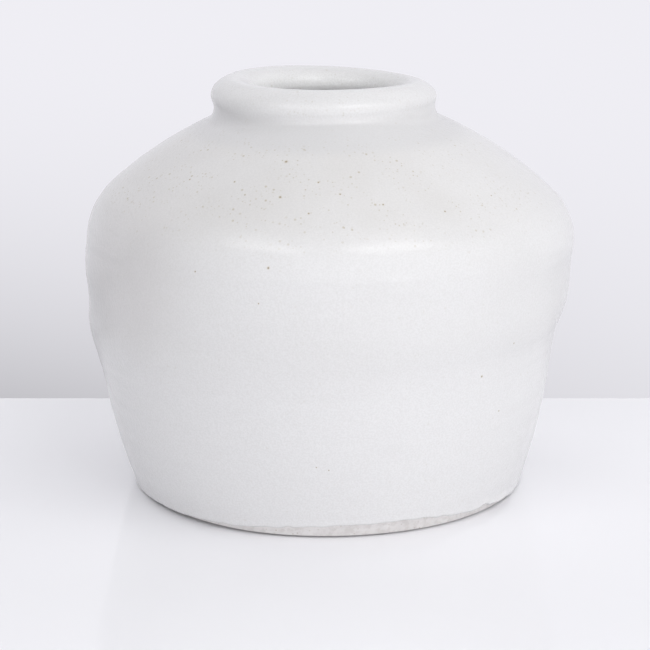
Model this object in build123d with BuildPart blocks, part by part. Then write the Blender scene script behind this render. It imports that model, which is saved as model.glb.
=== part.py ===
"""White shouldered jar of the moon-jar kind, in millimetres.

The jar is thrown as two bowls and a collar, which are luted together with slip. Every piece is turned about Z, and
the unglazed foot stands on z = 0. The outside is one run of tangent arcs, and the inside keeps their centres, so
that the wall follows the outside at an even thickness.
"""

import os
from math import acos, asin, atan2, cos, degrees, hypot, radians, sin, sqrt, tan

from build123d import *

# Outside, from the table up
FOOT_RADIUS = 67.0  # where the wall's curve would meet the table
FOOT_BEVEL = 1.4  # edge wiped round the foot, inwards to its flat ring
BEVEL_HEIGHT = 0.8
FOOT_TURN_HEIGHT = 40.0  # below this the wall curves in to the foot
LOWER_TAPER = 7.7  # lean of the lower bowl's wall at the seam, degrees from upright
SEAM_HEIGHT = 52.0
UPPER_TAPER = 18.8  # lean of the upper bowl's wall at the seam, more than the lower bowl's, so the seam shows
SWELL_RADIUS = 53.0  # curve from that lean to the upright wall
UPRIGHT = 10.3  # straight stretch under the widest line
BELLY_HEIGHT = 83.6
BELLY_RADIUS = 82.5
TURN_RADIUS = 25.0  # tight turn from the belly to the shoulder
TURN_ANGLE = 49.3
NECK_FLARE = 65.6  # way the shoulder faces where it meets the neck, degrees above level
HOLLOW_RADIUS = 5.5  # hollow of the neck under the lip
LIP_UNDERCUT = 18.0
LIP_RADIUS = 6.05  # roll of the lip, half its thickness
RIM_RADIUS = 37.7

# Walls
WALL = 6.5
FLOOR_HEIGHT = 9.5
FLOOR_CORNER = 16.0  # curve between the floor and the wall
THROAT_EDGE = 4.0  # rounding where the throat opens under the shoulder

# Foot
GLAZE = 0.6  # step where the glaze stops
GLAZE_LINE = 4.6
RING_WIDTH = 9.0
RECESS_DEPTH = 3.0
RECESS_SLOPE = 1.5

# Luted joints
SLIP = 0.8
SEAM_BEVEL = 20.0  # fall of the belly joint towards the inside, degrees
COLLAR_JOINT_RADIUS = 44.0

# Narrow flats that make up the small rounds and the unseen inside
HOLLOW_FLATS = 4
LIP_FLATS = 10
INSIDE_FLATS = 2

# How far a cutting outline runs past the jar
CLEAR = 20.0


def facing(angle):
    """Unit vector in the section: 0 faces straight out, 90 straight up."""
    return Vector(cos(radians(angle)), sin(radians(angle)))


def flats(centre, radius, start, end, count):
    """Points that cut an arc into narrow flats, between two facing angles."""
    return [centre + facing(start + (end - start) * step / count) * radius for step in range(count + 1)]


# Centres of the outside's arcs, from the belly down to the foot, where a negative curve makes a flared foot
swell_centre = Vector(BELLY_RADIUS - SWELL_RADIUS, BELLY_HEIGHT - UPRIGHT)
swell_foot = swell_centre + facing(-UPPER_TAPER) * SWELL_RADIUS
seam_radius = swell_foot.X - (swell_foot.Y - SEAM_HEIGHT) * tan(radians(UPPER_TAPER))
foot_turn_radius = seam_radius - (SEAM_HEIGHT - FOOT_TURN_HEIGHT) * tan(radians(LOWER_TAPER))
foot_reach = foot_turn_radius - FOOT_RADIUS
foot_half_turn = degrees(atan2(foot_reach, FOOT_TURN_HEIGHT)) - LOWER_TAPER
foot_curve = hypot(foot_reach, FOOT_TURN_HEIGHT) / (2 * sin(radians(foot_half_turn)))
foot_centre = Vector(foot_turn_radius, FOOT_TURN_HEIGHT) - facing(-LOWER_TAPER) * foot_curve

# Centres of the outside's arcs, from the belly up to the lip
turn_centre = Vector(BELLY_RADIUS - TURN_RADIUS, BELLY_HEIGHT)
turn_top = turn_centre + facing(TURN_ANGLE) * TURN_RADIUS
lip_to_hollow = LIP_RADIUS + HOLLOW_RADIUS
hollow_centre_radius = RIM_RADIUS - LIP_RADIUS + lip_to_hollow * cos(radians(LIP_UNDERCUT))
neck_radius = hollow_centre_radius - HOLLOW_RADIUS * cos(radians(NECK_FLARE))
shoulder_run = cos(radians(TURN_ANGLE)) - cos(radians(NECK_FLARE))
shoulder_curve = (turn_top.X - neck_radius) / shoulder_run
shoulder_centre = turn_top - facing(TURN_ANGLE) * shoulder_curve
hollow_centre = shoulder_centre + facing(NECK_FLARE) * (shoulder_curve + HOLLOW_RADIUS)
lip_centre = hollow_centre + facing(180 - LIP_UNDERCUT) * lip_to_hollow
lip_top = lip_centre.Y + LIP_RADIUS

# Centres of the inside's own rounds: where the throat opens under the shoulder, and round the floor
throat_radius = lip_centre.X - LIP_RADIUS
throat_reach = shoulder_curve - WALL + THROAT_EDGE
throat_spread = throat_radius + THROAT_EDGE - shoulder_centre.X
throat_centre = shoulder_centre + Vector(throat_spread, sqrt(throat_reach**2 - throat_spread**2))
throat_angle = degrees(acos(throat_spread / throat_reach))
corner_reach = foot_curve - WALL - FLOOR_CORNER
corner_drop = foot_centre.Y - FLOOR_HEIGHT - FLOOR_CORNER
corner_angle = -degrees(asin(corner_drop / corner_reach))
corner_centre = foot_centre + facing(corner_angle) * corner_reach

# Where the glaze stops above the bare foot, and where the foot's bevel begins
glaze_angle = -degrees(asin((foot_centre.Y - GLAZE_LINE) / foot_curve))
bevel_angle = -degrees(asin((foot_centre.Y - BEVEL_HEIGHT) / (foot_curve - GLAZE)))
ring_outside = FOOT_RADIUS - FOOT_BEVEL
ring_inside = ring_outside - RING_WIDTH


def on_foot(angle, depth=0):
    """Point of the foot's curve where it faces an angle, at a depth under its face."""
    return foot_centre + facing(angle) * (foot_curve - depth)


# Inside, from the throat down to the floor
inside = [Vector(throat_radius, lip_centre.Y)]
inside += flats(throat_centre, THROAT_EDGE, 180, 180 + throat_angle, INSIDE_FLATS)
inside += flats(shoulder_centre, shoulder_curve - WALL, throat_angle, TURN_ANGLE, INSIDE_FLATS)[1:]
inside += flats(turn_centre, TURN_RADIUS - WALL, TURN_ANGLE, 0, INSIDE_FLATS)[1:]
inside += flats(swell_centre, SWELL_RADIUS - WALL, 0, -UPPER_TAPER, 1)
inside += flats(foot_centre, foot_curve - WALL, -LOWER_TAPER, corner_angle, 1)
inside += flats(corner_centre, FLOOR_CORNER, corner_angle, -90, INSIDE_FLATS)[1:]

# Half section of the whole jar: the outside up to the lip, the inside down to the floor, and the foot
with BuildSketch() as jar:
    with BuildLine():
        foot_middle = on_foot((glaze_angle - LOWER_TAPER) / 2)
        foot_arc = ThreePointArc(on_foot(glaze_angle), foot_middle, on_foot(-LOWER_TAPER))
        swell_arc = CenterArc(swell_centre, SWELL_RADIUS, -UPPER_TAPER, UPPER_TAPER)
        turn_arc = CenterArc(turn_centre, TURN_RADIUS, 0, TURN_ANGLE)
        shoulder = CenterArc(shoulder_centre, shoulder_curve, TURN_ANGLE, NECK_FLARE - TURN_ANGLE)
        Polyline(foot_arc @ 1, (seam_radius, SEAM_HEIGHT), swell_arc @ 0)
        Line(swell_arc @ 1, turn_arc @ 0)
        hollow = flats(hollow_centre, HOLLOW_RADIUS, 180 + NECK_FLARE, 180 - LIP_UNDERCUT, HOLLOW_FLATS)
        lip = flats(lip_centre, LIP_RADIUS, -LIP_UNDERCUT, 180, LIP_FLATS)
        Polyline(shoulder @ 1, *hollow[1:], *lip[1:-1], *inside, (0, FLOOR_HEIGHT))
        Polyline(
            (0, FLOOR_HEIGHT),
            (0, RECESS_DEPTH),
            (ring_inside - RECESS_SLOPE, RECESS_DEPTH),
            (ring_inside, 0),
            (ring_outside, 0),
            on_foot(bevel_angle, GLAZE),
            on_foot(glaze_angle, GLAZE),
            foot_arc @ 0,
        )
    make_face()


def under_belly_joint(lift):
    """Everything below the belly joint's face, which falls towards the inside so that the bowls centre."""
    fall = tan(radians(SEAM_BEVEL))
    face = SEAM_HEIGHT + lift
    with BuildSketch() as region:
        with BuildLine():
            Polyline(
                (0, -CLEAR),
                (seam_radius + CLEAR, -CLEAR),
                (seam_radius + CLEAR, face + CLEAR * fall),
                (0, face - seam_radius * fall),
                close=True,
            )
        make_face()
    return region.sketch


def over_collar_joint(gap):
    """Everything above the collar joint's face, which crosses the shoulder square to its surface."""
    joint_facing = facing(degrees(acos((COLLAR_JOINT_RADIUS - shoulder_centre.X) / shoulder_curve)))
    step = Vector(-joint_facing.Y, joint_facing.X) * gap
    inner = shoulder_centre + joint_facing * (shoulder_curve - WALL - CLEAR) + step
    outer = shoulder_centre + joint_facing * (shoulder_curve + HOLLOW_RADIUS) + step
    with BuildSketch() as region:
        with BuildLine():
            Polyline(inner, outer, (outer.X, lip_top + CLEAR), (0, lip_top + CLEAR), (0, inner.Y), close=True)
        make_face()
    return region.sketch


# Lower bowl: floor, trimmed foot ring and the wall up to the bevelled seam
with BuildPart() as lower_bowl:
    with BuildSketch(Plane.XZ):
        add(jar.sketch)
        add(under_belly_joint(0), mode=Mode.INTERSECT)
    revolve(axis=Axis.Z)

# Slip that lutes the two bowls together
with BuildPart() as belly_slip:
    with BuildSketch(Plane.XZ):
        add(jar.sketch)
        add(under_belly_joint(SLIP), mode=Mode.INTERSECT)
        add(under_belly_joint(0), mode=Mode.SUBTRACT)
    revolve(axis=Axis.Z)

# Upper bowl, turned over onto the lower one: belly and shoulder
with BuildPart() as upper_bowl:
    with BuildSketch(Plane.XZ):
        add(jar.sketch)
        add(under_belly_joint(SLIP), mode=Mode.SUBTRACT)
        add(over_collar_joint(0), mode=Mode.SUBTRACT)
    revolve(axis=Axis.Z)

# Slip that lutes the collar into the shoulder
with BuildPart() as collar_slip:
    with BuildSketch(Plane.XZ):
        add(jar.sketch)
        add(over_collar_joint(0), mode=Mode.INTERSECT)
        add(over_collar_joint(SLIP), mode=Mode.SUBTRACT)
    revolve(axis=Axis.Z)

# Collar: short neck with a rolled lip
with BuildPart() as rim_collar:
    with BuildSketch(Plane.XZ):
        add(jar.sketch)
        add(over_collar_joint(SLIP), mode=Mode.INTERSECT)
    revolve(axis=Axis.Z)

os.makedirs("parts", exist_ok=True)

lower_bowl.part.label = "lower_bowl"
export_step(lower_bowl.part, "parts/lower_bowl.step")
belly_slip.part.label = "belly_slip"
export_step(belly_slip.part, "parts/belly_slip.step")
upper_bowl.part.label = "upper_bowl"
export_step(upper_bowl.part, "parts/upper_bowl.step")
collar_slip.part.label = "collar_slip"
export_step(collar_slip.part, "parts/collar_slip.step")
rim_collar.part.label = "rim_collar"
export_step(rim_collar.part, "parts/rim_collar.step")

throat_length = lip_centre.Y - throat_centre.Y
print(f"height {lip_top:.2f}, throat radius {throat_radius:.3f}, throat length {throat_length:.3f}")
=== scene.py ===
"""Glaze, clay and slip of a white shouldered jar, of the moon-jar kind, in a plain studio.

Sections are worked out in millimetres, and the meshes are in metres. Angles round the jar start at +X,
the right of the photograph, and run anticlockwise seen from above. The photograph looks at the jar from
-90 degrees.
"""

from math import cos, radians, sin

import bpy
import numpy as np
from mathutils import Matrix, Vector


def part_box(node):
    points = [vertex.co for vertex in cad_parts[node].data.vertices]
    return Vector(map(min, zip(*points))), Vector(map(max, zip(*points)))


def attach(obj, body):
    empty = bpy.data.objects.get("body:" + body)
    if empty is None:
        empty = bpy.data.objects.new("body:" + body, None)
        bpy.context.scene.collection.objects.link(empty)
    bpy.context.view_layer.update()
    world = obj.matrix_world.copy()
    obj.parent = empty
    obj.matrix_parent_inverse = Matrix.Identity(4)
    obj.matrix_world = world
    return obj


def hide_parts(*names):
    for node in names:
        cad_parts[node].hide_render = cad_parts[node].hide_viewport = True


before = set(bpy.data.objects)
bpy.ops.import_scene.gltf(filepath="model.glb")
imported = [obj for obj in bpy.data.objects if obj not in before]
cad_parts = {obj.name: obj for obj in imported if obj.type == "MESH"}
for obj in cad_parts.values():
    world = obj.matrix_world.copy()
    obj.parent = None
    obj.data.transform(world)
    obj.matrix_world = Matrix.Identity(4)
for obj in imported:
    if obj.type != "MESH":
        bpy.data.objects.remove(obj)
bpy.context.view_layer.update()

MM = 0.001

# Sizes that the frame gives
belly_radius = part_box("upper_bowl")[1].x / MM
seam_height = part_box("lower_bowl")[1].z / MM
collar_joint_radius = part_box("collar_slip")[1].x / MM

# Sizes of the outside at the jar's left, front and right, which differ because it was thrown by hand
SIDES = {
    "belly_radius": (belly_radius - 0.35, belly_radius, belly_radius + 0.35),
    "belly_height": (83.8, 84.7, 85.6),
    "turn_radius": (25.9, 22.7, 19.5),  # round from the belly to the shoulder
    "turn_angle": (48.65, 41.9, 46.45),
    "shoulder_radius": (130.1, 127.0, 123.8),
    "upright": (20.1, 6.0, 4.2),  # straight stretch below the belly's widest line
    "swell_radius": (53.2, 95.0, 63.9),  # round from there to the upper bowl's taper
    "upper_taper": (18.7, 13.0, 21.2),
    "seam_height": (seam_height - 9.2, seam_height, seam_height + 3.3),
    "lower_taper": (10.05, 9.0, 6.45),
    "foot_turn": (35.7, 40.0, 44.5),  # height where the lower taper starts to curve in to the foot
    "foot_radius": (66.8, 67.2, 66.4),
    "hollow_radius": (5.4, 2.6, 5.8),  # round of the neck, under the lip
    "nose_radius": (4.5, 4.55, 3.5),  # round of the lip's outside
    "nose_reach": (34.9, 34.4, 32.65),
    "nose_height": (132.95, 131.75, 132.45),
    "nose_end": (47.1, 40.0, 47.1),  # angle at which that round passes into the crown
}

# The lip's other rounds: the crown on top and the roll to its crest
CROWN_RADIUS = 11.55
CROWN_END = 67.5
ROLL_RADIUS = 6.0
# Radius of the throat, how deep the oval is that rounds the lip down into it, and the round at its bottom
THROAT_RADIUS = 24.3
THROAT_DEPTH = 6.8
THROAT_EDGE = 5.2
# How far the lip warps up and down like a saddle
LIP_WARP = 0.35
# How far the foot bulges at its front left, and the angles of that bulge's middle and spread
FOOT_BULGE = 0.8
FOOT_BULGE_ANGLE = -120
FOOT_BULGE_SPREAD = 24

# Thickness of the wall with its glaze, of the glaze and of the slip in the joints
WALL = 6.5
GLAZE = 0.6
SLIP = 0.8
# Height of the floor inside, and the round of its corner
FLOOR_HEIGHT = 9.5
FLOOR_CORNER = 16.0
# How far up and down the seam's corner is filled in, at the sides and at the front
SEAM_FILL = 9.0
SEAM_FILL_FRONT = 20.0

# The underside: a flat ring, which stops a margin short of the worn edge, round a shallow recess
RING_RADIUS = 64.3
RING_WIDTH = 9.0
RING_MARGIN = 0.5
RECESS_DEPTH = 3.0
RECESS_SLOPE = 1.5

# The foot's worn edge: its height at the sides and at the front, and how far round the front reaches
WORN_SIDES = 0.15
WORN_HEIGHT = 0.5
WORN_START = 0.35
WORN_FADE = 0.25
WORN_ROWS = 6
# The gap under the foot at its front left: more height, a cut into the ring, and its middle and spread
WORN_GAP = 0.6
WORN_CUT = 2.5
WORN_GAP_ANGLE = -134
WORN_GAP_SPREAD = 18

# Throwing rings: height, pitch and phase of each run, how far they tilt, and which way, in radians
RINGS = ((0.028, 7.3, 0.0), (0.02, 4.6, 1.0))
RING_TILT = 1.2
RING_TILT_TURN = 0.6
# A fine line round the front of the belly
BELLY_LINE_DEPTH = 0.05
BELLY_LINE_HEIGHT = 87.0
BELLY_LINE_WIDTH = 0.9
# Swells of the belly's sides, which go in at one side where they come out at the other
SWELL_DEPTH = 0.45
SWELL_CREST = 77
SWELL_PITCH = 24
SWELL_MIDDLE = 71
SWELL_REACH = 18
# Height at which all these marks end, and how far below it they start to fade
MARKS_END = 120
MARKS_FADE = 10

# Edge of the glaze above the foot: angles round the jar, and heights along the wall from the worn edge
EDGE_ANGLES = (-180, -134, -112, -95, -69, -61, -46, -30, -24, 20, 80, 130, 180)
EDGE_HEIGHTS = (0.3, 0.2, 1.6, 3.9, 4.3, 3.7, 1.9, 1.5, 0.2, 0.6, 2.6, 1.6, 0.3)
EDGE_LOWEST = 0.1
# Waves in that edge: times round the jar, height and phase
EDGE_WAVES = ((9, 0.16, 0.4), (17, 0.13, 2.1), (31, 0.10, 4.0), (57, 0.08, 1.3))
# Chips in that edge: angle, half width and depth
CHIPS = ((-41.0, 1.8, 1.0), (-57.0, 1.4, 0.5), (-101.0, 1.0, 0.5), (47.0, 2.0, 1.0), (118.0, 1.2, 0.6))
# The edge's bead: how far in it is at full thickness, and a swelling behind it, in thicknesses of the glaze
BEAD_REACH = 0.7
BEAD_SWELLING = 0.25
SWELLING_PLACE = 0.9
SWELLING_WIDTH = 0.9
# How much more it swells where the glaze curls away from the foot, and the curl's middle and spread
EDGE_CURL = 1.3
CURL_ANGLE = -34
CURL_SPREAD = 8
# Rows of the glaze next to its edge, how they crowd towards it, and the row of the wall that they end on
EDGE_ROWS = 18
EDGE_CROWDING = 1.8
EDGE_END_ROW = 16
# One row in this many is kept on the side of the glaze that lies on the clay
BED_STEP = 3

# Larger iron specks: angle round the jar, height and size across
SPECKS = (
    (-104, 119, 1.0),
    (-93, 114, 0.6),
    (-103, 110, 0.8),
    (-95, 106, 0.6),
    (-103, 91, 0.75),
    (-120, 88, 0.5),
    (-118, 113, 0.6),
    (-134, 112, 0.6),
    (-113, 110, 0.5),
    (-87, 111, 0.6),
    (-76, 108, 0.6),
    (-60, 105, 0.6),
    (-42, 107, 0.5),
    (-52, 52, 0.7),
    (-43, 61, 0.5),
    (-44, 38, 0.5),
    (-90, 25, 0.4),
    (-93, 26, 0.4),
    (-105, 80, 0.45),
    (64, 97, 0.8),
    (118, 112, 0.7),
    (152, 60, 0.6),
)

# Columns of a mesh round the jar, and the angle from which an edge is sharp
COLUMNS = 400
SHARP_ANGLE = 35
# Share of their true size that rows out of sight take in a piece's map
HIDDEN_ROOM = 0.05


class Section:
    """Rows of points of the jar's half section, with a column for each angle round the jar."""

    def __init__(self):
        self.r = []
        self.z = []
        self.marks = {}

    def point(self, r, z):
        """One more row, the same at every angle where it is given as a plain number."""
        self.r.append(np.broadcast_to(r, COLUMNS).astype(float))
        self.z.append(np.broadcast_to(z, COLUMNS).astype(float))

    def line(self, r, z, count):
        """Straight on to a point, in count steps."""
        from_r, from_z = self.r[-1], self.z[-1]
        for step in range(1, count + 1):
            share = step / count
            self.point(from_r + (r - from_r) * share, from_z + (z - from_z) * share)

    def arc(self, centre, radius, start, end, count, first=1, rise=None):
        """Round a centre between two angles, in count steps.

        An oval's upright half is its rise, and a first step of 0 puts a row at the start as well.
        """
        rise = radius if rise is None else rise
        for step in range(first, count + 1):
            angle = np.radians(start + (end - start) * step / count)
            self.point(centre[0] + radius * np.cos(angle), centre[1] + rise * np.sin(angle))

    def mark(self, name):
        """Give the last row a name."""
        self.marks[name] = len(self.r) - 1

    def rows(self):
        """All rows so far, as an array of radii and one of heights."""
        return np.array(self.r), np.array(self.z)


def facing(angle):
    """Unit vector of the section, where 0 faces straight out and 90 straight up."""
    return np.cos(np.radians(angle)), np.sin(np.radians(angle))


def step_from(point, angle, length):
    """The point at a length from another, the way that an angle faces."""
    across, up = facing(angle)
    return point[0] + across * length, point[1] + up * length


def angle_between(centre, point):
    """The angle at which a point of the section lies from a centre."""
    return np.degrees(np.arctan2(point[1] - centre[1], point[0] - centre[0]))


def normals(r, z):
    """Outward unit normals of rows that run up the outside and down the inside."""
    run_r, run_z = np.gradient(r, axis=0), np.gradient(z, axis=0)
    length = np.hypot(run_r, run_z)
    return run_z / length, -run_r / length


def arclength(r, z):
    """How far along the section each row lies from the first."""
    steps = np.hypot(np.diff(r, axis=0), np.diff(z, axis=0))
    return np.vstack([np.zeros(COLUMNS), np.cumsum(steps, axis=0)])


theta = np.linspace(-np.pi, np.pi, COLUMNS, endpoint=False)


def round_the_jar(left, front, right):
    """A size at each angle, which runs smoothly through its values at the left, front and right."""
    way = np.cos(theta)
    return front + (right - left) / 2 * way + ((right + left) / 2 - front) * way**2


def near(angle, spread):
    """1 at an angle round the jar, falling smoothly to 0 away from it."""
    return np.exp(-(1 - np.cos(theta - radians(angle))) / (1 - cos(radians(spread))))


# Sizes at each angle, with the lip's warp, the foot's bulge and the worn edge
side = {name: round_the_jar(*values) for name, values in SIDES.items()}
side["nose_height"] -= LIP_WARP * np.sin(2 * theta)
side["foot_radius"] += FOOT_BULGE * near(FOOT_BULGE_ANGLE, FOOT_BULGE_SPREAD)
worn_front = np.clip((-np.sin(theta) - WORN_START) / WORN_FADE, 0, 1)
worn_gap = near(WORN_GAP_ANGLE, WORN_GAP_SPREAD)
worn_height = WORN_SIDES + (WORN_HEIGHT - WORN_SIDES) * worn_front + WORN_GAP * worn_gap
worn_ring = RING_RADIUS - WORN_CUT * worn_gap


def shared_centres():
    """Centres of the wall's arcs, which the outside and the inside share."""
    s = side
    c = {}
    c["swell"] = s["belly_radius"] - s["swell_radius"], s["belly_height"] - s["upright"]
    swell_end = step_from(c["swell"], -s["upper_taper"], s["swell_radius"])
    slope = np.tan(np.radians(s["upper_taper"]))
    c["seam"] = swell_end[0] - (swell_end[1] - s["seam_height"]) * slope, s["seam_height"]
    slope = np.tan(np.radians(s["lower_taper"]))
    turn = c["seam"][0] - (c["seam"][1] - s["foot_turn"]) * slope, s["foot_turn"]
    reach = turn[0] - s["foot_radius"]
    half_turn = np.degrees(np.arctan2(reach, s["foot_turn"])) - s["lower_taper"]
    c["foot_curve"] = np.hypot(reach, s["foot_turn"]) / (2 * np.sin(np.radians(half_turn)))
    c["foot"] = step_from(turn, 180 - s["lower_taper"], c["foot_curve"])
    c["turn"] = s["belly_radius"] - s["turn_radius"], s["belly_height"]
    c["shoulder"] = step_from(c["turn"], s["turn_angle"], s["turn_radius"] - s["shoulder_radius"])
    return c


def neck_hollow(c):
    """Centre of the hollow under the lip, which touches the shoulder's round and the nose's."""
    nose = side["nose_reach"], side["nose_height"]
    across, up = nose[0] - c["shoulder"][0], nose[1] - c["shoulder"][1]
    apart = np.hypot(across, up)
    to_shoulder = side["shoulder_radius"] + side["hollow_radius"]
    to_nose = side["nose_radius"] + side["hollow_radius"]
    along = (to_shoulder**2 - to_nose**2 + apart**2) / (2 * apart)
    off = np.sqrt(to_shoulder**2 - along**2)
    across, up = across / apart, up / apart
    return c["shoulder"][0] + along * across + off * up, c["shoulder"][1] + along * up - off * across


def collar_joint(c):
    """Angles on the shoulder's round of the lower and upper face of the collar's slip."""
    lower = np.degrees(np.arccos((collar_joint_radius - c["shoulder"][0]) / side["shoulder_radius"]))
    return lower, lower + np.degrees(SLIP / side["shoulder_radius"])


def outside_section(c):
    """The glazed outside, from the foot's worn edge up to the top of the throat."""
    s = side
    path = Section()
    low_angle = -np.degrees(np.arcsin((c["foot"][1] - worn_height) / c["foot_curve"]))
    path.arc(c["foot"], c["foot_curve"], low_angle, -s["lower_taper"], 30, first=0)
    path.line(*c["seam"], 10)
    path.mark("seam")
    path.line(*step_from(c["seam"], 90 - s["upper_taper"], SLIP), 1)
    path.mark("seam_top")
    path.line(*step_from(c["swell"], -s["upper_taper"], s["swell_radius"]), 5)
    path.arc(c["swell"], s["swell_radius"], -s["upper_taper"], 0, 12)
    path.line(s["belly_radius"], s["belly_height"], 10)
    path.arc(c["turn"], s["turn_radius"], 0, s["turn_angle"], 22)
    joint, joint_top = collar_joint(c)
    path.arc(c["shoulder"], s["shoulder_radius"], s["turn_angle"], joint, 30)
    path.mark("collar")
    path.arc(c["shoulder"], s["shoulder_radius"], joint, joint_top, 1)
    path.mark("collar_top")
    hollow = neck_hollow(c)
    flare = angle_between(c["shoulder"], hollow)
    path.arc(c["shoulder"], s["shoulder_radius"], joint_top, flare, 5)
    nose = s["nose_reach"], s["nose_height"]
    undercut = angle_between(nose, hollow)
    path.arc(hollow, -s["hollow_radius"], flare, undercut, 12)
    path.arc(nose, s["nose_radius"], undercut, s["nose_end"], 12)
    crown = step_from(nose, s["nose_end"], s["nose_radius"] - CROWN_RADIUS)
    path.arc(crown, CROWN_RADIUS, s["nose_end"], CROWN_END, 8)
    roll = step_from(crown, CROWN_END, CROWN_RADIUS - ROLL_RADIUS)
    path.arc(roll, ROLL_RADIUS, CROWN_END, 90, 5)
    throat = roll[0], roll[1] + ROLL_RADIUS - THROAT_DEPTH
    path.arc(throat, roll[0] - THROAT_RADIUS, 90, 180, 15, rise=THROAT_DEPTH)
    return path


def inside_section(c, throat):
    """The glazed inside, from the top of the throat down to the floor's middle."""
    s = side
    path = Section()
    path.point(*throat)
    shoulder = s["shoulder_radius"] - WALL
    reach = shoulder + THROAT_EDGE
    spread = throat[0] + THROAT_EDGE - c["shoulder"][0]
    edge = throat[0] + THROAT_EDGE, c["shoulder"][1] + np.sqrt(reach**2 - spread**2)
    edge_angle = np.degrees(np.arccos(spread / reach))
    path.line(throat[0], edge[1], 3)
    path.arc(edge, THROAT_EDGE, 180, 180 + edge_angle, 6)
    joint, joint_top = collar_joint(c)
    path.arc(c["shoulder"], shoulder, edge_angle, joint_top, 5)
    path.mark("collar_top")
    path.arc(c["shoulder"], shoulder, joint_top, joint, 1)
    path.mark("collar")
    path.arc(c["shoulder"], shoulder, joint, s["turn_angle"], 14)
    path.arc(c["turn"], s["turn_radius"] - WALL, s["turn_angle"], 0, 10)
    path.line(c["swell"][0] + s["swell_radius"] - WALL, c["swell"][1], 3)
    path.arc(c["swell"], s["swell_radius"] - WALL, 0, -s["upper_taper"], 4)
    middle_taper = (s["upper_taper"] + s["lower_taper"]) / 2
    seam = step_from(c["seam"], 180 - middle_taper, WALL)
    path.line(*step_from(seam, 90 - s["upper_taper"], SLIP), 2)
    path.mark("seam_top")
    path.line(*seam, 1)
    path.mark("seam")
    corner_reach = c["foot_curve"] - WALL - FLOOR_CORNER
    corner_angle = -np.degrees(np.arcsin((c["foot"][1] - FLOOR_HEIGHT - FLOOR_CORNER) / corner_reach))
    corner = step_from(c["foot"], corner_angle, corner_reach)
    path.line(*step_from(c["foot"], -s["lower_taper"], c["foot_curve"] - WALL), 4)
    path.arc(c["foot"], c["foot_curve"] - WALL, -s["lower_taper"], corner_angle, 6)
    path.arc(corner, FLOOR_CORNER, corner_angle, -90, 8)
    path.line(0.0, FLOOR_HEIGHT, 8)
    return path


def in_metres(r, z):
    """Points of the section's rows, turned round the jar, as an array of rows, columns and coordinates."""
    return np.stack([r * np.cos(theta), r * np.sin(theta), z], axis=-1) * MM


def turned(name, r, z, loop, material, hidden=slice(0)):
    """A closed mesh turned from rows of the section: rows in a loop, or rows that start and end on the axis.

    Its map runs round the jar one way and along the rows the other, and gives hidden rows little room.
    """
    points = in_metres(r, z)
    count = len(points)
    columns = np.arange(COLUMNS)
    following = (columns + 1) % COLUMNS
    closed_r, closed_z = (np.vstack([r, r[:1]]), np.vstack([z, z[:1]])) if loop else (r, z)
    room = np.diff(arclength(closed_r, closed_z).mean(axis=1))
    room[hidden] *= HIDDEN_ROOM
    place = np.concatenate([[0], np.cumsum(room)]) / room.sum()
    map_places = []
    if loop:
        rows, vertices = range(count), points.reshape(-1, 3)
        number = [columns + row * COLUMNS for row in range(count)]
    else:
        rows = range(count - 1)
        ring = points[1:-1].reshape(-1, 3)
        vertices = np.vstack([ring, points[0, :1], points[-1, :1]])
        number = [columns + (row - 1) * COLUMNS for row in range(count)]
        number[0] = np.full(COLUMNS, len(ring))
        number[-1] = np.full(COLUMNS, len(ring) + 1)
    faces = []
    for row in rows:
        low, high = number[row], number[(row + 1) % count]
        quads = np.stack([low[columns], low[following], high[following], high[columns]], axis=-1)
        turns = np.stack([columns, columns + 1, columns + 1, columns], axis=-1) / COLUMNS
        rise = np.broadcast_to(place[[row, row, row + 1, row + 1]], turns.shape)
        corners = np.stack([turns, rise], axis=-1)
        if not loop and row == 0:
            quads, corners = quads[:, 1:], corners[:, 1:]
        if not loop and row == count - 2:
            quads, corners = quads[:, :3], corners[:, :3]
        faces += quads.tolist()
        map_places.append(corners.ravel())
    mesh = bpy.data.meshes.new(name)
    mesh.from_pydata(vertices.tolist(), [], faces)
    mesh.uv_layers.new(name="OFBake").data.foreach_set("uv", np.concatenate(map_places))
    mesh.validate()
    mesh.shade_smooth()
    mesh.set_sharp_from_angle(angle=radians(SHARP_ANGLE))
    mesh.materials.append(material)
    piece = bpy.data.objects.new(name, mesh)
    bpy.context.scene.collection.objects.link(piece)
    return piece


# Where a strewn speck and a placed one end and are full, as shares of their size from their middle
STREWN_SPECK = (0.5, 0.2)
PLACED_SPECK = (0.6, 0.2)
# Range of a cell's random value over which its speck grows from nothing to full strength
SPECK_CHANCE = (0.3, 1.0)


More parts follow.
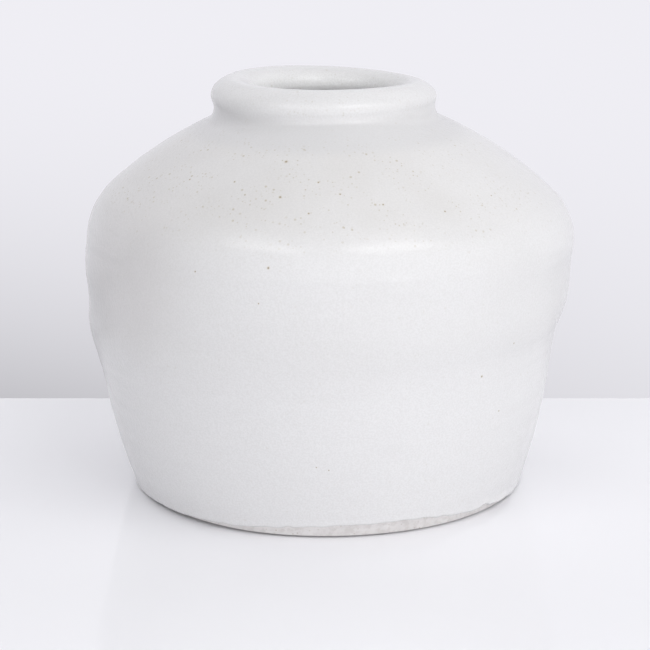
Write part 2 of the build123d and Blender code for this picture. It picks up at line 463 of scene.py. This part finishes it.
class Shader:
    """A material with a Principled surface, and short calls for the nodes that drive it."""

    def __init__(self, name, roughness):
        self.material = bpy.data.materials.new(name)
        self.material.use_nodes = True
        self.tree = self.material.node_tree
        self.surface = self.tree.nodes["Principled BSDF"]
        self.surface.inputs["Roughness"].default_value = roughness
        self.place = self.node("ShaderNodeTexCoord").outputs["Object"]

    def node(self, kind, settings=(), **inputs):
        """A new node with its settings, and with values or links for its inputs."""
        made = self.tree.nodes.new(kind)
        for name, value in dict(settings).items():
            setattr(made, name, value)
        for name, value in inputs.items():
            self.put(made.inputs[name], value)
        return made

    def put(self, socket, value):
        """Link another node's output to a socket, or set the socket to a plain value."""
        if isinstance(value, bpy.types.NodeSocket):
            self.tree.links.new(value, socket)
        else:
            socket.default_value = value

    def math(self, operation, *values):
        """A maths node's output, for one value or two."""
        made = self.node("ShaderNodeMath", {"operation": operation})
        for socket, value in zip(made.inputs, values):
            self.put(socket, value)
        return made.outputs[0]

    def vector(self, operation, first, second=None):
        """A vector node's outputs, for one vector or two."""
        made = self.node("ShaderNodeVectorMath", {"operation": operation})
        self.put(made.inputs[0], first)
        if second is not None:
            self.put(made.inputs[1], second)
        return made.outputs

    def times(self, first, *others):
        """Values multiplied with each other."""
        for other in others:
            first = self.math("MULTIPLY", first, other)
        return first

    def noise(self, size, detail=2.0, shift=0.0):
        """Smooth noise whose lumps are about a size in millimetres."""
        moved = self.vector("ADD", self.place, (shift, shift, shift))
        made = self.node("ShaderNodeTexNoise", Scale=1 / (size * MM), Detail=detail)
        self.put(made.inputs["Vector"], moved["Vector"])
        return made.outputs[0]

    def between(self, value, low, high, from_low=0.0, to_high=1.0, course="SMOOTHSTEP"):
        """A value brought from one range to another, and held at its ends."""
        made = self.node("ShaderNodeMapRange", {"interpolation_type": course})
        for socket, number in zip(made.inputs, (value, low, high, from_low, to_high)):
            self.put(socket, number)
        return made.outputs[0]

    def across(self, value, start, end, from_low=0.0, to_high=1.0):
        """The same for a length, from start to end in millimetres."""
        return self.between(value, start * MM, end * MM, from_low, to_high)

    def band(self, value, start, full, last, end):
        """1 where a length is from full to last in millimetres, falling to 0 at start and end."""
        return self.times(self.across(value, start, full), self.across(value, end, last))

    def mix(self, share, first, second):
        """Two colours, with a share of the second."""
        # The node keeps its colours in inputs 6 and 7 and in output 2
        made = self.node("ShaderNodeMix", {"data_type": "RGBA"})
        self.put(made.inputs[0], share)
        self.put(made.inputs[6], first)
        self.put(made.inputs[7], second)
        return made.outputs[2]

    def axis(self, name):
        """A place's X, Y or Z in metres."""
        split = self.node("ShaderNodeSeparateXYZ")
        self.put(split.inputs[0], self.place)
        return split.outputs[name]

    def from_axis(self):
        """How far a place lies from the jar's axis, in metres."""
        flat = self.vector("MULTIPLY", self.place, (1, 1, 0))
        return self.vector("LENGTH", flat["Vector"])["Value"]

    def towards(self, angle):
        """How far a place lies from the axis towards an angle round the jar, in metres."""
        way = (cos(radians(angle)), sin(radians(angle)), 0)
        return self.vector("DOT_PRODUCT", self.place, way)["Value"]

    def specks(self, cell, size):
        """Round specks up to a size across, one to a cell, in millimetres, some fainter than others."""
        made = self.node("ShaderNodeTexVoronoi", Scale=1 / (cell * MM))
        self.put(made.inputs["Vector"], self.place)
        chance = self.node("ShaderNodeSeparateColor")
        self.put(chance.inputs[0], made.outputs["Color"])
        end, full = (share * size / cell for share in STREWN_SPECK)
        dots = self.between(made.outputs["Distance"], end, full)
        return self.times(dots, self.between(chance.outputs[0], *SPECK_CHANCE))

    def speck(self, place, size):
        """One soft round speck of a size across in millimetres, round a place in metres."""
        away = self.vector("DISTANCE", self.place, place)["Value"]
        end, full = (share * size for share in PLACED_SPECK)
        return self.across(away, end, full)

    def relief(self, height, depth):
        """Bump of a depth in millimetres."""
        bump = self.node("ShaderNodeBump", Strength=1.0, Distance=depth * MM)
        self.put(bump.inputs["Height"], height)
        self.put(self.surface.inputs["Normal"], bump.outputs[0])

    def colour(self, value):
        """Give the surface its colour."""
        self.put(self.surface.inputs["Base Color"], value)


# Noises: size of their lumps, detail, and a shift that keeps one apart from another
DRIFT = (38, 3)
MOTTLE = (15, 3, 0.31)
FINE_GRAIN = (0.55, 2, 0.13)
CLUSTERS = (10, 2, 0.77)
SHEEN = (6, 3, 0.5)
PEEL = (1.3, 2)
FINE_PEEL = (0.6, 1, 0.2)
CLAY_PATCHES = (6, 4)
CLAY_PITS = (2.0, 3, 0.6)
CLAY_GRAIN = (0.5, 3)
CLAY_LUMPS = (1.8, 2, 0.4)
SLIP_PATCHES = (3, 3)
SLIP_GRAIN = (0.6, 3)
# Ranges of a noise over which one tone or value passes into another
PATCH_RANGE = (0.35, 0.65)
MOTTLE_RANGE = (0.25, 0.75)
GRAIN_RANGE = (0.38, 0.62)
CLUSTER_RANGE = (0.36, 0.56)
SHEEN_RANGE = (0.3, 0.7)
PIT_RANGE = (0.45, 0.65)

# Colours of the glaze: two even tones, then painted light low on the wall, a warm stain that is partly
# painted shade, painted shade at the neck, painted light in the throat, painted shade on the belly
WHITE_GLAZE = (0.758, 0.754, 0.758, 1)
DULL_GLAZE = (0.746, 0.741, 0.743, 1)
LOW_WALL_PAINTED_LIGHT = (0.782, 0.778, 0.783, 1)
WARM_STAIN_AND_SHADE = (0.705, 0.693, 0.685, 1)
NECK_PAINTED_SHADE = (0.665, 0.660, 0.664, 1)
THROAT_PAINTED_LIGHT = (0.88, 0.878, 0.875, 1)
BELLY_PAINTED_SHADE = (0.690, 0.672, 0.672, 1)
# Colours of its grain and of its iron specks
GRAIN = (0.60, 0.59, 0.58, 1)
FINE_SPECK = (0.46, 0.41, 0.30, 1)
MIDDLING_SPECK = (0.43, 0.37, 0.24, 1)
SPECK_HALO = (0.55, 0.48, 0.33, 1)
BOLD_SPECK = (0.30, 0.24, 0.15, 1)

# Where these tones lie: heights, and distances from the axis
LOW_LIGHT_FROM_TO = (66, 42)
SHOULDER_BAND = (92, 106, 121, 127)
NECK_BAND = (119.5, 123, 128, 131)
LIP_FROM_TO = (128, 132)
THROAT_FROM_TO = (131.7, 133.0)
THROAT_INWARDS = (28.2, 24.8)
# The shoulder's warm stain, which is partly painted shade, is strongest towards one angle, and this share of
# it is left on the far side
STAIN_AND_SHADE_ANGLE = -115
STAIN_AND_SHADE_FROM_TO = (-30, 50)
STAIN_AND_SHADE_LEAST = 0.35
# Share of it that is left where it is mottled
MOTTLE_LEAST = 0.6
# Angle, height and size of a patch of painted shade on the belly's front left
BELLY_SHADE_PLACE = (-143, 84)
BELLY_SHADE_SIZE = 62

# How much of each tone shows at most
NECK_SHARE = 0.85
BELLY_SHADE_SHARE = 0.6
GRAIN_SHARE = 0.2
FINE_SHARE = 0.6
MIDDLING_SHARE = 0.65
HALO_SHARE = 0.3
BOLD_SHARE = 0.8
# How far the lip counts as stained, and the share of the specks that any place has
LIP_SPECKS = 0.3
FEWEST_SPECKS = 0.15
# Cell and size of the strewn specks, and how much wider a bold speck's halo is
FINE_SPECKS = (1.2, 0.75)
MIDDLING_SPECKS = (2.4, 1.15)
HALO_SIZE = 1.8

# The glaze's roughness, the depth of its orange-peel surface, and how much of that is fine
GLAZE_ROUGHNESS = (0.17, 0.21)
PEEL_DEPTH = 0.09
FINE_PEEL_SHARE = 0.4

# Roughness, colours and relief of the bare clay and of the slip
CLAY_ROUGHNESS = 0.85
SLIP_ROUGHNESS = 0.8
PALE_CLAY = (0.765, 0.746, 0.738, 1)
GREY_CLAY = (0.715, 0.694, 0.686, 1)
PITTED_CLAY = (0.60, 0.57, 0.555, 1)
CLAY_SPECK = (0.40, 0.34, 0.28, 1)
PALE_SLIP = (0.72, 0.66, 0.60, 1)
DARK_SLIP = (0.66, 0.60, 0.54, 1)
PIT_SHARE = 0.5
CLAY_SPECKS = (1.4, 0.8)
CLAY_SPECK_SHARE = 0.6
CLAY_RELIEF = 0.12


def glaze_material(speck_places, belly_shade_place):
    """Satin white glaze with painted light low on the wall and inside the lip, a warm stain that is partly
    painted shade on the shoulder, painted shade at the neck and on the belly, iron specks at given places
    and finer ones between.
    """
    made = Shader("satin_white_glaze", GLAZE_ROUGHNESS[0])
    height = made.axis("Z")
    tone = made.mix(made.between(made.noise(*DRIFT), *PATCH_RANGE), WHITE_GLAZE, DULL_GLAZE)
    # Painted light: the wall is lighter low down, towards the table
    tone = made.mix(made.across(height, *LOW_LIGHT_FROM_TO), tone, LOW_WALL_PAINTED_LIGHT)
    # A warm stain on the shoulder that is also painted shade, darkest towards the front left
    near_stain_and_shade = made.across(made.towards(STAIN_AND_SHADE_ANGLE), *STAIN_AND_SHADE_FROM_TO, STAIN_AND_SHADE_LEAST, 1.0)
    stain_and_shade = made.times(made.band(height, *SHOULDER_BAND), near_stain_and_shade)
    mottled = made.between(made.noise(*MOTTLE), *MOTTLE_RANGE, MOTTLE_LEAST, 1.0)
    tone = made.mix(made.times(stain_and_shade, mottled), tone, WARM_STAIN_AND_SHADE)
    # Painted shade in the hollow of the neck, which also dims a highlight there
    tone = made.mix(made.times(made.band(height, *NECK_BAND), NECK_SHARE), tone, NECK_PAINTED_SHADE)
    # Painted light on the inside of the lip, fading out lower in the throat
    inwards = made.across(made.from_axis(), *THROAT_INWARDS)
    tone = made.mix(made.times(inwards, made.across(height, *THROAT_FROM_TO)), tone, THROAT_PAINTED_LIGHT)
    # Painted shade on the belly towards its front left
    tone = made.mix(made.times(made.speck(belly_shade_place, BELLY_SHADE_SIZE), BELLY_SHADE_SHARE), tone, BELLY_PAINTED_SHADE)
    grain = made.between(made.noise(*FINE_GRAIN), *GRAIN_RANGE, 0.0, GRAIN_SHARE)
    tone = made.mix(grain, tone, GRAIN)

    # Specks lie in clusters, most of them on the stain
    strewn = made.math("MAXIMUM", stain_and_shade, made.across(height, *LIP_FROM_TO, 0.0, LIP_SPECKS))
    strewn = made.math("ADD", made.times(strewn, 1 - FEWEST_SPECKS), FEWEST_SPECKS)
    strewn = made.times(strewn, made.between(made.noise(*CLUSTERS), *CLUSTER_RANGE))
    fine = made.times(made.specks(*FINE_SPECKS), strewn, FINE_SHARE)
    middling = made.times(made.specks(*MIDDLING_SPECKS), strewn, MIDDLING_SHARE)
    tone = made.mix(fine, tone, FINE_SPECK)
    tone = made.mix(middling, tone, MIDDLING_SPECK)
    bold, halo = 0.0, 0.0
    for place, size in speck_places:
        bold = made.math("MAXIMUM", bold, made.speck(place, size))
        halo = made.math("MAXIMUM", halo, made.speck(place, HALO_SIZE * size))
    tone = made.mix(made.times(halo, HALO_SHARE), tone, SPECK_HALO)
    tone = made.mix(made.times(bold, BOLD_SHARE), tone, BOLD_SPECK)
    made.colour(tone)

    roughness = made.between(made.noise(*SHEEN), *SHEEN_RANGE, *GLAZE_ROUGHNESS)
    made.put(made.surface.inputs["Roughness"], roughness)
    peel = made.math("ADD", made.noise(*PEEL), made.times(made.noise(*FINE_PEEL), FINE_PEEL_SHARE))
    made.relief(peel, PEEL_DEPTH)
    return made.material


def clay_material():
    """Pale fired clay with grey patches, pits and specks."""
    made = Shader("bare_fired_clay", CLAY_ROUGHNESS)
    tone = made.mix(made.between(made.noise(*CLAY_PATCHES), *PATCH_RANGE), PALE_CLAY, GREY_CLAY)
    pits = made.between(made.noise(*CLAY_PITS), *PIT_RANGE, 0.0, PIT_SHARE)
    tone = made.mix(pits, tone, PITTED_CLAY)
    tone = made.mix(made.times(made.specks(*CLAY_SPECKS), CLAY_SPECK_SHARE), tone, CLAY_SPECK)
    made.colour(tone)
    made.relief(made.math("ADD", made.noise(*CLAY_GRAIN), made.noise(*CLAY_LUMPS)), CLAY_RELIEF)
    return made.material


def slip_material():
    """Fired slip, warmer than the clay, in the joints."""
    made = Shader("fired_slip", SLIP_ROUGHNESS)
    made.colour(made.mix(made.between(made.noise(*SLIP_PATCHES), *PATCH_RANGE), PALE_SLIP, DARK_SLIP))
    made.relief(made.noise(*SLIP_GRAIN), CLAY_RELIEF)
    return made.material


centres = shared_centres()
outside = outside_section(centres)
face_r, face_z = outside.rows()
inside = inside_section(centres, (outside.r[-1], outside.z[-1]))
hollow_r, hollow_z = inside.rows()


def hand_marks(z):
    """How far throwing rings, the belly's swells and the filled seam stand out at heights of the outside."""
    tilted = z - RING_TILT * np.cos(theta - RING_TILT_TURN)
    rings = sum(depth * np.sin(2 * np.pi * tilted / pitch + phase) for depth, pitch, phase in RINGS)
    front = np.clip(-np.sin(theta), 0, 1)
    line = BELLY_LINE_DEPTH * np.exp(-(((z - BELLY_LINE_HEIGHT) / BELLY_LINE_WIDTH) ** 2)) * front
    wave = np.cos(theta) * np.cos(2 * np.pi * (z - SWELL_CREST) / SWELL_PITCH)
    swells = -SWELL_DEPTH * wave * np.exp(-(((z - SWELL_MIDDLE) / SWELL_REACH) ** 6))
    bend = np.radians(side["upper_taper"] - side["lower_taper"]) / 2
    spread = SEAM_FILL + (SEAM_FILL_FRONT - SEAM_FILL) * np.sin(theta) ** 2
    filled = np.clip(spread - np.abs(z - side["seam_height"]), 0, None) ** 2 / (2 * spread) * np.tan(bend)
    return (rings + line + swells) * np.clip((MARKS_END - z) / MARKS_FADE, 0, 1) + filled


across, up = normals(face_r, face_z)
marks = hand_marks(face_z)
face_r, face_z = face_r + across * marks, face_z + up * marks

# Clay under the glaze, with the foot's worn edge cut in to the flat ring that it stands on
across, up = normals(face_r, face_z)
clay_r, clay_z = face_r - across * GLAZE, face_z - up * GLAZE
worn = np.radians(np.linspace(0, 90, WORN_ROWS + 1))[:-1, None]
worn_r = worn_ring + (clay_r[0] - worn_ring) * (1 - np.cos(worn))
worn_z = clay_z[0] * np.sin(worn)
clay_r, clay_z = np.vstack([worn_r, clay_r]), np.vstack([worn_z, clay_z])

# The same inside, where the floor's middle faces straight up
across, up = normals(hollow_r, hollow_z)
up[-1], across[-1] = 1, 0
inner_r, inner_z = hollow_r - across * GLAZE, hollow_z - up * GLAZE
inner_r[-1] = 0


def place_on_face(angle, height):
    """The place of a point on the glaze's face, in metres, from its angle round the jar and its height."""
    column = int(np.argmin(np.abs(theta - radians(angle))))
    rising = slice(0, int(np.argmax(face_z[:, column])))
    r = np.interp(height, face_z[rising, column], face_r[rising, column])
    return Vector((r * cos(radians(angle)), r * sin(radians(angle)), height)) * MM


speck_places = [(place_on_face(angle, height), size) for angle, height, size in SPECKS]
glaze_finish = glaze_material(speck_places, place_on_face(*BELLY_SHADE_PLACE))
clay_finish = clay_material()
slip_finish = slip_material()


def clay_piece(name, low, high, finish):
    """One ring of the wall between two joints, given by the names of their marks."""
    first, last = outside.marks[low] + WORN_ROWS, outside.marks[high] + WORN_ROWS
    back, front = inside.marks[high], inside.marks[low]
    r = np.vstack([clay_r[first : last + 1], inner_r[back : front + 1]])
    z = np.vstack([clay_z[first : last + 1], inner_z[back : front + 1]])
    return turned(name, r, z, True, finish)


def lower_bowl():
    """The lower bowl's clay, from the recess under it up to the seam and down to the floor."""
    under = Section()
    ring_inside = RING_RADIUS - RING_WIDTH
    under.point(0, RECESS_DEPTH)
    under.line(ring_inside - RECESS_SLOPE, RECESS_DEPTH, 6)
    under.line(ring_inside, 0, 2)
    under.line(worn_ring - RING_MARGIN, 0, 4)
    under_r, under_z = under.rows()
    last, front = outside.marks["seam"] + WORN_ROWS, inside.marks["seam"]
    r = np.vstack([under_r, clay_r[: last + 1], inner_r[front:]])
    z = np.vstack([under_z, clay_z[: last + 1], inner_z[front:]])
    return turned("lower_bowl_clay", r, z, False, clay_finish)


def rim_collar():
    """The collar's clay, from its joint over the lip and down the throat."""
    first, back = outside.marks["collar_top"] + WORN_ROWS, inside.marks["collar_top"]
    r = np.vstack([clay_r[first:], inner_r[1 : back + 1]])
    z = np.vstack([clay_z[first:], inner_z[1 : back + 1]])
    return turned("rim_collar_clay", r, z, True, clay_finish)


def glaze_edge():
    """How far along the wall from the foot's worn edge the glaze stops, at each angle."""
    angle = np.degrees(theta)
    edge = np.interp(angle, EDGE_ANGLES, EDGE_HEIGHTS)
    for turns, size, phase in EDGE_WAVES:
        edge += size * np.sin(turns * theta + phase)
    for place, width, depth in CHIPS:
        away = np.radians(angle - place) * RING_RADIUS / width
        edge += depth * np.exp(-(away**4))
    return np.maximum(edge, EDGE_LOWEST)


def outer_glaze():
    """The glaze outside, from its uneven edge above the foot over the lip into the throat."""
    along = arclength(clay_r, clay_z)
    along -= along[WORN_ROWS]
    edge = glaze_edge()
    settled = EDGE_END_ROW + WORN_ROWS
    shares = np.linspace(0, 1, EDGE_ROWS) ** EDGE_CROWDING
    reach = edge + (along[settled] - edge) * shares[:, None]
    low_r, low_z = np.empty_like(reach), np.empty_like(reach)
    for column in range(COLUMNS):
        low_r[:, column] = np.interp(reach[:, column], along[:, column], clay_r[:, column])
        low_z[:, column] = np.interp(reach[:, column], along[:, column], clay_z[:, column])
    bed_r, bed_z = np.vstack([low_r, clay_r[settled + 1 :]]), np.vstack([low_z, clay_z[settled + 1 :]])
    from_edge = np.vstack([reach, along[settled + 1 :]]) - edge
    bead = np.sqrt(1 - (1 - np.clip(from_edge / BEAD_REACH, 0, 1)) ** 2)
    swelling = BEAD_SWELLING + EDGE_CURL * near(CURL_ANGLE, CURL_SPREAD)
    behind = np.exp(-(((from_edge - SWELLING_PLACE) / SWELLING_WIDTH) ** 2))
    thick = GLAZE * (bead + swelling * bead * behind)
    across, up = normals(bed_r, bed_z)
    top_r, top_z = bed_r + across * thick, bed_z + up * thick
    kept = np.arange(len(bed_r) - 1, 0, -BED_STEP)
    r = np.vstack([top_r, bed_r[kept]])
    z = np.vstack([top_z, bed_z[kept]])
    return turned("outer_glaze", r, z, True, glaze_finish, hidden=slice(len(top_r), None))


def inner_glaze():
    """The glaze inside, from the throat down over the floor."""
    r = np.vstack([inner_r[::-1], hollow_r])
    z = np.vstack([inner_z[::-1], hollow_z])
    return turned("inner_glaze", r, z, False, glaze_finish, hidden=slice(0, len(inner_r)))


pieces = {
    "lower_bowl": lower_bowl(),
    "belly_slip": clay_piece("belly_slip_ring", "seam", "seam_top", slip_finish),
    "upper_bowl": clay_piece("upper_bowl_clay", "seam_top", "collar", clay_finish),
    "collar_slip": clay_piece("collar_slip_ring", "collar", "collar_top", slip_finish),
    "rim_collar": rim_collar(),
}
for node, piece in pieces.items():
    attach(piece, "root")
    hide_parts(node)
for piece in (outer_glaze(), inner_glaze()):
    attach(piece, "root")


# Camera: place, degrees that it looks down, and lens
CAMERA_PLACE = (-1.2, -675.9, 225.3)
CAMERA_PITCH = 14.3
LENS = 112.1

# A glossy white table with a far edge behind the jar
TABLE_FAR_EDGE = 91.0
TABLE_HALF_WIDTH = 900.0
TABLE_NEAR_EDGE = -900.0
TABLE_ROUGHNESS = 0.05
TABLE_DRIFT = (300, 1)
TABLE_TONES = ((0.922, 0.919, 0.943, 1), (0.932, 0.929, 0.953, 1))

# Thickness of the table and of the wall behind it
SLAB_THICKNESS = 30.0

# A plain wall whose glow has painted shade: darker below a height, down to its foot, and more so from its
# right to its left
BACKDROP_PLACE = 1300.0
BACKDROP_REACH = 4000.0
BACKDROP_TOP = 45.0
BACKDROP_FOOT = -355.0
BACKDROP_HALF = 320.0
BACKDROP_PAINTED_SHADE = (0.13, 0.36)
BACKDROP_FALL = 2.4
BACKDROP_GLOW = (0.865, 0.857, 0.905, 1)
BACKDROP_PAINT = (0.8, 0.8, 0.82, 1)
BACKDROP_ROUGHNESS = 0.9
BLACK = (0.0, 0.0, 0.0, 1)

# A pale room that is brighter towards the front
ROOM_COLOUR = (0.95, 0.952, 0.975, 1)
ROOM_LEVEL = 0.485
ROOM_LEAN = (0.03, -0.47, 0.0)

# Lamps: degrees to the camera's right, degrees up, width and height, watts, distance, and if gloss shows it
LAMPS = {
    "key": (36, 50, (640, 400), 2.05, 1100, True),
    "kicker": (-38, 49, (600, 240), 1.05, 1100, True),
    "low_fill": (22, 4, (600, 300), 2.1, 1100, False),
    "side_fill": (70, 30, (500, 400), 1.2, 1000, False),
    "back_right": (130, 40, (500, 400), 0.63, 900, False),
    "back_left": (-140, 40, (500, 400), 0.95, 900, False),
}
LAMP_AIM = (0, 0, 70)


def slab(name, low, high, material):
    """A plain box of the stage between two corners."""
    corners = [(x, y, z) for x in (low[0], high[0]) for y in (low[1], high[1]) for z in (low[2], high[2])]
    faces = [(0, 1, 3, 2), (4, 6, 7, 5), (0, 4, 5, 1), (2, 3, 7, 6), (0, 2, 6, 4), (1, 5, 7, 3)]
    mesh = bpy.data.meshes.new(name)
    mesh.from_pydata([Vector(corner) * MM for corner in corners], [], faces)
    mesh.materials.append(material)
    made = bpy.data.objects.new(name, mesh)
    bpy.context.scene.collection.objects.link(made)


def table_material():
    """Glossy white whose tone drifts a little."""
    made = Shader("white_table", TABLE_ROUGHNESS)
    made.colour(made.mix(made.noise(*TABLE_DRIFT), *TABLE_TONES))
    return made.material


def wall_material():
    """Plain paint for the light, and for the camera and for reflections a glow with painted shade towards
    its foot and its left.
    """
    made = Shader("pale_wall", BACKDROP_ROUGHNESS)
    made.colour(BACKDROP_PAINT)
    fall = made.between(made.axis("Z"), BACKDROP_TOP * MM, BACKDROP_FOOT * MM, course="LINEAR")
    half = BACKDROP_HALF * MM
    leftness = made.between(made.axis("X"), half, -half, *BACKDROP_PAINTED_SHADE, course="LINEAR")
    tone = made.mix(made.times(made.math("POWER", fall, BACKDROP_FALL), leftness), BACKDROP_GLOW, BLACK)
    path = made.node("ShaderNodeLightPath")
    seen = made.math("MAXIMUM", path.outputs["Is Camera Ray"], path.outputs["Is Glossy Ray"])
    glow = made.node("ShaderNodeEmission", Color=tone)
    blend = made.node("ShaderNodeMixShader")
    made.put(blend.inputs[0], seen)
    made.put(blend.inputs[1], made.surface.outputs[0])
    made.put(blend.inputs[2], glow.outputs[0])
    made.put(made.tree.nodes["Material Output"].inputs["Surface"], blend.outputs[0])
    return made.material


def softbox(name, azimuth, elevation, size, power, distance, shows):
    """A lamp that faces the jar from an angle to the camera's right and an angle above the table."""
    turn, rise = radians(azimuth), radians(elevation)
    way = Vector((sin(turn) * cos(rise), -cos(turn) * cos(rise), sin(rise)))
    lamp = bpy.data.lights.new(name, "AREA")
    lamp.shape = "RECTANGLE"
    lamp.size, lamp.size_y = size[0] * MM, size[1] * MM
    lamp.energy = power
    made = bpy.data.objects.new(name, lamp)
    made.location = Vector(LAMP_AIM) * MM + way * distance * MM
    made.rotation_euler = (-way).to_track_quat("-Z", "Y").to_euler()
    made.visible_glossy = shows
    made.visible_camera = False
    bpy.context.scene.collection.objects.link(made)


def surroundings():
    """The room's light, whose strength leans one way."""
    world = bpy.data.worlds.new("studio")
    world.use_nodes = True
    nodes, links = world.node_tree.nodes, world.node_tree.links
    way = nodes.new("ShaderNodeTexCoord")
    lean = nodes.new("ShaderNodeVectorMath")
    lean.operation = "DOT_PRODUCT"
    links.new(way.outputs["Generated"], lean.inputs[0])
    lean.inputs[1].default_value = ROOM_LEAN
    strength = nodes.new("ShaderNodeMath")
    links.new(lean.outputs["Value"], strength.inputs[0])
    strength.inputs[1].default_value = ROOM_LEVEL
    links.new(strength.outputs[0], nodes["Background"].inputs["Strength"])
    nodes["Background"].inputs["Color"].default_value = ROOM_COLOUR
    bpy.context.scene.world = world


def studio():
    """The table, the wall behind it, the lamps, the room's light and the camera."""
    slab(
        "table",
        (-TABLE_HALF_WIDTH, TABLE_NEAR_EDGE, -SLAB_THICKNESS),
        (TABLE_HALF_WIDTH, TABLE_FAR_EDGE, 0),
        table_material(),
    )
    slab(
        "wall",
        (-BACKDROP_REACH, BACKDROP_PLACE, -BACKDROP_REACH),
        (BACKDROP_REACH, BACKDROP_PLACE + SLAB_THICKNESS, BACKDROP_REACH),
        wall_material(),
    )
    for name, settings in LAMPS.items():
        softbox(name, *settings)
    surroundings()
    view = bpy.data.cameras.new("camera")
    view.lens = LENS
    camera = bpy.data.objects.new("camera", view)
    camera.location = Vector(CAMERA_PLACE) * MM
    camera.rotation_euler = (radians(90 - CAMERA_PITCH), 0, 0)
    bpy.context.scene.collection.objects.link(camera)
    bpy.context.scene.camera = camera
    bpy.context.scene.view_settings.view_transform = "Standard"


studio()
